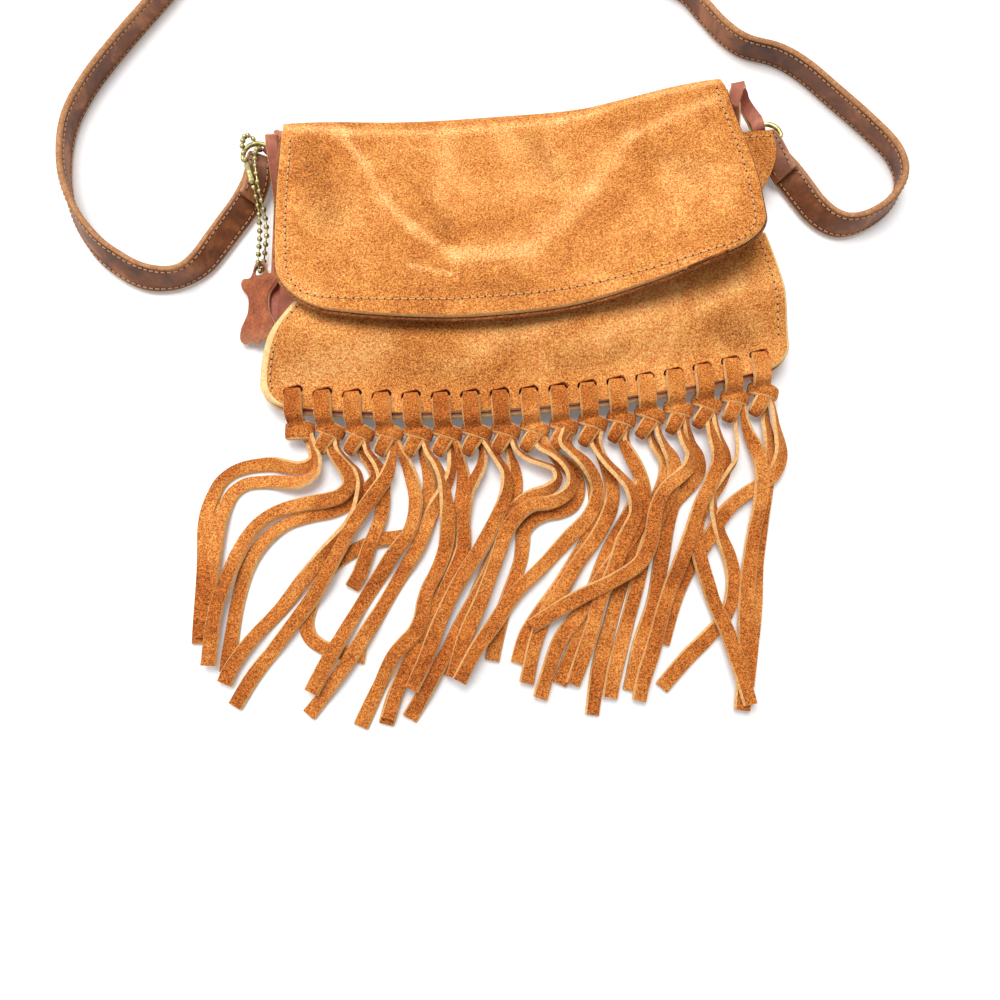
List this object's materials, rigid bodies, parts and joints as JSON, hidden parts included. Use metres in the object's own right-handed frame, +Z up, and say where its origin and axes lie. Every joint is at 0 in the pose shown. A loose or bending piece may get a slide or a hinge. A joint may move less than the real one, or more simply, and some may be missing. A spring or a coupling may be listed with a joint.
{
  "type": "fringed suede shoulder bag",
  "caption": "Small suede shoulder bag with a fold-over flap, knotted fringe along the hem, a narrow leather strap on D-rings and a hide-shaped tag on a ball chain",
  "frame": {"origin": "the middle of the back panel's flat resting face, at z = 0", "axes": "X to the right of the bag as seen from its front, Y from the fringe towards the fold, Z up off the surface, out of the bag's front"},
  "size_m": [0.3758, 0.4111, 0.037],
  "materials": {
    "suede": "tan-orange suede with a mottled nap",
    "lining": "darker tan split suede",
    "gusset": "smooth mauve-brown suede",
    "fringe": "tan suede with pale raw edges",
    "strap": "dark brown oiled leather",
    "tag": "reddish brown leather, worn paler at its corners",
    "brass": "antique, dull"
  },
  "bodies": {
    "bag": {"back_panel": "suede", "front_panel": "suede", "left_gusset": "gusset", "right_gusset": "gusset", "snap_base": "brass", "left_ring_tab": "strap", "right_ring_tab": "strap", "shoulder_strap": "strap", "fringe_01": "fringe", "fringe_02": "fringe", "fringe_03": "fringe", "fringe_04": "fringe", "fringe_05": "fringe", "fringe_06": "fringe", "fringe_07": "fringe", "fringe_08": "fringe", "fringe_09": "fringe", "fringe_10": "fringe", "fringe_11": "fringe", "fringe_12": "fringe", "fringe_13": "fringe", "fringe_14": "fringe", "fringe_15": "fringe", "fringe_16": "fringe", "fringe_17": "fringe"},
    "flap": {"flap": "suede", "flap_lining": "lining", "snap_cap": "brass"},
    "left_ring": {"left_ring": "brass"},
    "right_ring": {"right_ring": "brass"},
    "chain": {"ball_chain": "brass", "chain_connector": "brass"},
    "tag": {"hide_tag": "tag"}
  },
  "joints": [
    {"name": "flap_hinge", "type": "hinge", "parent": "bag", "child": "flap", "pos_m": [0, 0.0685, 0.0124], "axis": [-1, 0, 0], "range_deg": [0, 120]},
    {"name": "left_ring_swing", "type": "hinge", "parent": "bag", "child": "left_ring", "pos_m": [-0.10403, 0.06865, 0.00598], "axis": [-0.6507, 0.6967, 0.302], "range_deg": [0, 3.5]},
    {"name": "right_ring_swing", "type": "hinge", "parent": "bag", "child": "right_ring", "pos_m": [0.11373, 0.06145, 0.00787], "axis": [-0.9155, -0.2297, -0.3304], "range_deg": [0, 3.5]},
    {"name": "chain_swing", "type": "hinge", "parent": "left_ring", "child": "chain", "pos_m": [-0.11067, 0.0706, 0.0085], "axis": [-1, 0, 0], "range_deg": [0, 30]},
    {"name": "tag_swing", "type": "hinge", "parent": "chain", "child": "tag", "pos_m": [-0.1112, 0.0108, 0.0049], "axis": [-1, 0, 0], "range_deg": [0, 18]}
  ]
}
